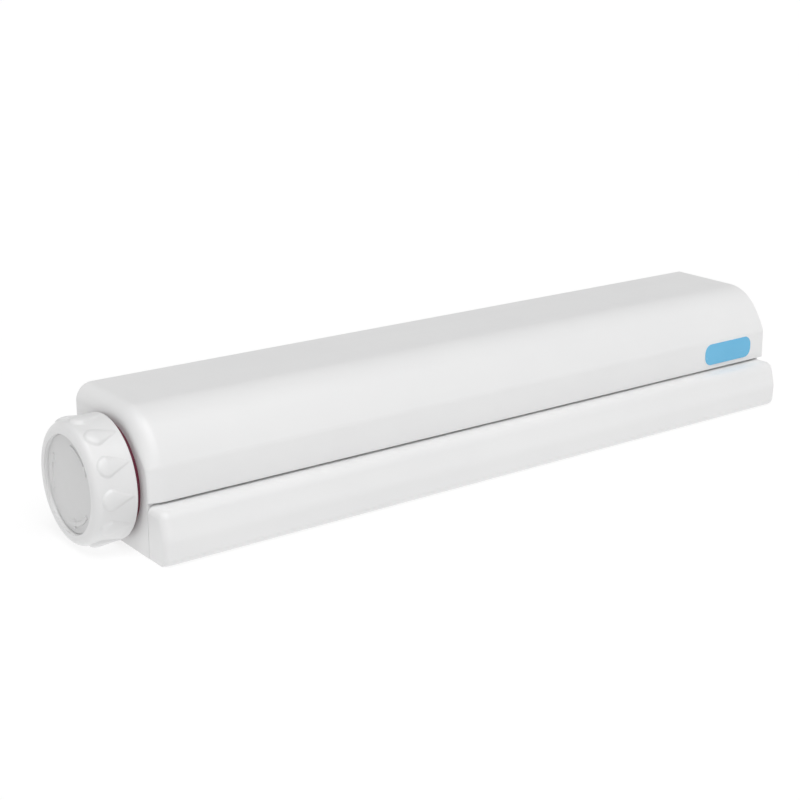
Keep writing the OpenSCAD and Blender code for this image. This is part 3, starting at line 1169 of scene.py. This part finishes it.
    def build_face(self, finish: bpy.types.Material) -> bpy.types.Object:
        """Makes the face disc with three plain curved arrows for the winding direction.

        Args:
            finish: Its plastic.

        Returns:
            The piece.
        """
        bm = bmesh.new()
        top = self.length - self.disc_set_back
        under = self.length - self.pocket_depth
        radius, edge = self.disc_radius, self.disc_edge
        rim = [(0.0, under), (radius, under), (radius, top - edge)]
        rim += [(radius - 0.15, top - 0.15), (radius - edge, top), (0.0, top)]
        outline = [bm.verts.new((r, 0.0, h)) for r, h in rim]
        spin_round(bm, outline, closed=False, steps=144)
        for start in self.arrow_starts:
            self._add_arrow(bm, start, top)
        bmesh.ops.remove_doubles(bm, verts=bm.verts[:], dist=MERGE_DISTANCE)
        bmesh.ops.holes_fill(bm, edges=bm.edges[:], sides=4)
        tidy_skin(bm)
        bmesh.ops.transform(bm, matrix=self.frame, verts=bm.verts[:])
        face = finish_piece(bm, "knob_face", Body.KNOB, finish, ("knob_disc",))
        face.data.shade_flat()
        return face

    def _add_arrow(self, bm: BMesh, start: float, top: float) -> None:
        """Raises one curved arrow on the face, with its head at the start.

        Args:
            bm: The face's mesh.
            start: Turn where the arrow's head meets its shaft, in degrees.
            top: Height of the face.
        """
        steps, shoulder = 14, 0.5
        run = self.shaft_turn - shoulder
        stations = [
            (-self.head_turn, 0.05),
            (-self.head_turn / 2, self.head_half / 2),
            (0.0, self.head_half),
        ]
        stations += [(shoulder + run * i / steps, self.shaft_half) for i in range(steps + 1)]
        rows = []
        for turn, half in stations:
            a = math.radians(start + turn)
            foot = half + self.arrow_slope
            ring = [(-foot, -0.1), (-half, self.arrow_rise), (half, self.arrow_rise), (foot, -0.1)]
            rows.append([
                Vector(((self.arrow_radius + off) * math.cos(a),
                        (self.arrow_radius + off) * math.sin(a), top + up))
                for off, up in ring + ring[:1]
            ])
        sweep(bm, rows)


# ---- lines ----


def tube_mesh(name: str, points: list[Vector], radius: float) -> bpy.types.Mesh:
    """A round tube along a line of points, with U along it and V round it.

    Args:
        name: Name of the mesh.
        points: The line, in metres.
        radius: Radius of the tube, in metres.

    Returns:
        The mesh.
    """
    curve = bpy.data.curves.new(name, "CURVE")
    curve.dimensions = "3D"
    curve.bevel_depth = radius
    curve.bevel_resolution = 2
    curve.use_fill_caps = True
    spline = curve.splines.new("POLY")
    spline.points.add(len(points) - 1)
    for spot, place in zip(spline.points, points):
        spot.co = (*place, 1.0)
    holder = bpy.data.objects.new(name, curve)
    bpy.context.scene.collection.objects.link(holder)
    graph = bpy.context.evaluated_depsgraph_get()
    mesh = bpy.data.meshes.new_from_object(holder.evaluated_get(graph))
    bpy.data.objects.remove(holder)
    for face in mesh.polygons:
        face.use_smooth = True
    return mesh


@dataclass
class Lines:
    """The five lines: what is wound on the drum, and the straight runs out to the bar."""

    line_radius: float = 1.5
    layer_radii: tuple[float, ...] = (21.5, 18.5, 15.5)
    spread: float = 21.0
    turns_full: float = 15.0
    steps_per_turn: int = 32
    run_steps: int = 16
    stretch_start: float = -34.0
    stretch_end: float = -64.0

    def __post_init__(self) -> None:
        """Reads the drum's axis and the knots' place."""
        axle = Extent.of("drum_axle").centre
        self.axis_y, self.axis_z = axle.y, axle.z
        self.knot = Extent.of("line_knot_3").centre

    def _wound(self, middle: float) -> list[Vector]:
        """The wound line's path, from the drum's underside inward through its layers.

        Args:
            middle: Place of the spool along the drum.

        Returns:
            The path, in metres.
        """
        outer, second, first = self.layer_radii
        legs = [
            (outer, 0.0, -self.spread, self.turns_full / 2),
            (second, -self.spread, self.spread, self.turns_full),
            (first, self.spread, -self.spread, self.turns_full),
        ]
        path = []
        turn = 0.0
        for radius, start, stop, turns in legs:
            steps = int(turns * self.steps_per_turn)
            for i in range(steps):
                share = i / steps
                a = turn + 2 * math.pi * turns * share
                place = (
                    middle + start + (stop - start) * share,
                    self.axis_y + radius * math.sin(a),
                    self.axis_z - radius * math.cos(a),
                )
                path.append(Vector(place) * MM)
            turn += 2 * math.pi * turns
        return path

    def build(self, wound: bpy.types.Material, straight: bpy.types.Material) -> None:
        """Makes the windings and the runs.

        Args:
            wound: Finish of the windings.
            straight: Finish of the runs.
        """
        low = self.axis_z - self.layer_radii[0]
        reach = self.knot.y - self.line_radius - self.axis_y
        stops = [self.axis_y + reach * s / self.run_steps for s in range(self.run_steps + 1)]
        for i in LINES:
            middle = (i - 3) * LINE_PITCH
            coil = tube_mesh(f"winding_{i}", self._wound(middle), self.line_radius * MM)
            place_piece(coil, f"winding_{i}", Body.DRUM, wound, (f"line_pack_{i}",))
            path = [Vector((middle, y, low)) * MM for y in stops]
            run = tube_mesh(f"line_{i}", path, self.line_radius * MM)
            piece = place_piece(run, f"line_{i}", None, straight, (f"line_run_{i}",))
            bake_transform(piece)


# ---- studio ----


@dataclass
class Studio:
    """Camera, pale floor and soft lights."""

    eye: Vector
    yaw: float = 37.726
    pitch: float = 17.596
    roll: float = 0.615
    lens: float = 69.71
    floor_half: float = 30.0
    floor_gap: float = 0.3
    floor_glow: float = 0.77
    fade_from: float = 0.06
    fade_to: float = 0.22

    def camera(self) -> None:
        """Places the camera."""
        yaw, pitch, roll = (math.radians(a) for a in (self.yaw, self.pitch, self.roll))
        ahead = Vector((math.sin(yaw) * math.cos(pitch), math.cos(yaw) * math.cos(pitch),
                        -math.sin(pitch)))
        level = Vector((math.cos(yaw), -math.sin(yaw), 0.0))
        over = level.cross(ahead)
        right = level * math.cos(roll) + over * math.sin(roll)
        up = over * math.cos(roll) - level * math.sin(roll)
        data = bpy.data.cameras.new("camera")
        data.lens = self.lens
        data.sensor_width = 36.0
        data.dof.use_dof = False
        camera = bpy.data.objects.new("camera", data)
        basis = Matrix((right, up, -ahead)).transposed().to_4x4()
        camera.matrix_world = Matrix.Translation(self.eye * MM) @ basis
        bpy.context.scene.collection.objects.link(camera)
        bpy.context.scene.camera = camera

    def floor(self) -> None:
        """Lays the pale floor just under the object."""
        bm = bmesh.new()
        bmesh.ops.create_grid(bm, x_segments=1, y_segments=1, size=self.floor_half)
        low = (Extent.of("front_cover").low.z - self.floor_gap) * MM
        bmesh.ops.translate(bm, vec=(0, 0, low), verts=bm.verts[:])
        mesh = bpy.data.meshes.new("floor")
        bm.to_mesh(mesh)
        bm.free()
        g = Graph("floor_white")
        tone = g.noise(g.place(), 600.0, detail=2.0)
        mesh.materials.append(g.principled({
            "Base Color": g.mix(tone, (0.24, 0.24, 0.24), (0.27, 0.27, 0.27)),
            "Roughness": 0.9,
            "Specular IOR Level": 0.0,
            "Emission Color": (1.0, 1.0, 1.0, 1.0),
            "Emission Strength": self.floor_glow,
        }))
        floor = bpy.data.objects.new("floor", mesh)
        bpy.context.scene.collection.objects.link(floor)

    def sky(self, horizon: float, above: float) -> None:
        """Surrounds the scene with white light, brighter at the horizon.

        Args:
            horizon: Brightness at the horizon.
            above: Brightness higher up.
        """
        world = bpy.data.worlds.new("surround")
        world.use_nodes = True
        tree = world.node_tree
        background = tree.nodes["Background"]
        place = tree.nodes.new("ShaderNodeTexCoord")
        axes = tree.nodes.new("ShaderNodeSeparateXYZ")
        fade = tree.nodes.new("ShaderNodeMapRange")
        for key, value in zip(("From Min", "From Max", "To Min", "To Max"),
                              (self.fade_from, self.fade_to, horizon, above)):
            fade.inputs[key].default_value = value
        tree.links.new(place.outputs["Generated"], axes.inputs["Vector"])
        tree.links.new(axes.outputs["Z"], fade.inputs["Value"])
        tree.links.new(fade.outputs["Result"], background.inputs["Strength"])
        background.inputs["Color"].default_value = (1.0, 1.0, 1.0, 1.0)
        bpy.context.scene.world = world

    def lamp(self, name: str, way: Vector, strength: float, spread: float) -> None:
        """Adds a broad, far soft light.

        Args:
            name: Name of the light.
            way: Direction from the object to the light.
            strength: Light that falls on a face turned to it.
            spread: Width of the light as seen from the object, in degrees.
        """
        data = bpy.data.lights.new(name, "SUN")
        data.energy = strength * math.pi
        data.angle = math.radians(spread)
        lamp = bpy.data.objects.new(name, data)
        lamp.rotation_mode = "QUATERNION"
        lamp.rotation_quaternion = way.to_track_quat("Z", "Y")
        bpy.context.scene.collection.objects.link(lamp)

    def build(self) -> None:
        """Sets up the whole studio."""
        self.camera()
        self.floor()
        self.sky(0.95, 0.27)
        self.lamp("front_soft", Vector((0.0, -0.43, 0.90)), 0.46, 46.0)
        self.lamp("left_soft", Vector((-0.35, -0.12, 0.92)), 0.26, 46.0)
        bpy.context.scene.view_settings.view_transform = "Standard"


# ---- the whole object ----


def dress_nodes(finishes: dict[str, bpy.types.Material]) -> None:
    """Gives every CAD node that stays its finish, by its material slot in the record.

    Args:
        finishes: Materials by material slot.
    """
    for part in frame["record"]["subparts"]:
        node = frame["nodes"][part["node"]]
        slot = part["material_slot"]
        finish = finishes["knot" if "knot" in part["node"] else slot]
        for holder in node.material_slots:
            holder.material = finish


def make_finishes() -> dict[str, bpy.types.Material]:
    """Makes every finish of the object.

    Returns:
        Materials by material slot, and those of the lines' straight runs and knots.
    """
    return {
        "casing_white": MouldedPlastic(
            "casing_white", (0.82, 0.82, 0.82), (0.80, 0.80, 0.802)).build(),
        # knob_white is a slightly darker copy of the casing's white plastic: painted shade on the
        # knob.
        "knob_white": MouldedPlastic(
            "knob_white", (0.785, 0.785, 0.785), (0.765, 0.765, 0.767)).build(),
        # disc_white is a darker copy of the same white plastic: painted shade on the knob's face
        # disc.
        "disc_white": MouldedPlastic(
            "disc_white", (0.69, 0.69, 0.69), (0.66, 0.66, 0.66), roughness=0.42,
            peel_depth=0.02, peel_size=0.8).build(),
        "frame_white": MouldedPlastic(
            "frame_white", (0.78, 0.78, 0.775), (0.74, 0.74, 0.74), roughness=0.45,
            peel_depth=0.02, peel_size=0.9).build(),
        "inner_grey": MouldedPlastic(
            "inner_grey", (0.55, 0.56, 0.57), (0.49, 0.50, 0.51), roughness=0.50,
            peel_depth=0.03, peel_size=0.9).build(),
        "burgundy": MouldedPlastic(
            "burgundy", (0.17, 0.022, 0.050), (0.13, 0.016, 0.038), roughness=0.38).build(),
        "bush_ivory": MouldedPlastic(
            "bush_ivory", (0.74, 0.70, 0.58), (0.68, 0.63, 0.50), roughness=0.30).build(),
        "badge_blue": MouldedPlastic(
            "badge_blue", (0.150, 0.500, 0.760), (0.125, 0.455, 0.720), roughness=0.22,
            peel_depth=0.006, marks=0.06).build(),
        "steel": Metal(
            "steel", (0.62, 0.62, 0.61), (0.42, 0.42, 0.41), (1.0, 1.0, 1.0)).build(),
        "axle_alloy": Metal(
            "axle_alloy", (0.72, 0.72, 0.73), (0.55, 0.55, 0.56), (0.02, 1.0, 1.0),
            roughness=0.34).build(),
        "line_cord": BraidedLine("line_wound", Course.WOUND).build(),
        "line_run": BraidedLine("line_straight", Course.STRAIGHT).build(),
        "knot": BraidedLine("line_knotted", Course.KNOTTED).build(),
    }


def main() -> None:
    """Builds the studio, the finishes and every piece in order."""
    logging.basicConfig(level=logging.INFO, format="%(name)s: %(message)s")
    Studio(Vector((-495.5, -623.8, 239.8))).build()
    finishes = make_finishes()
    Lines().build(finishes["line_cord"], finishes["line_run"])
    dress_nodes(finishes)
    cover = CasingCover()
    cover.build(finishes["casing_white"])
    Badge(cover).build(finishes["badge_blue"], finishes["casing_white"])
    LineBar().build(finishes["casing_white"])
    knob = Knob()
    knob.build_shell(finishes["knob_white"])
    knob.build_face(finishes["disc_white"])


if __name__ == "__main__":
    main()
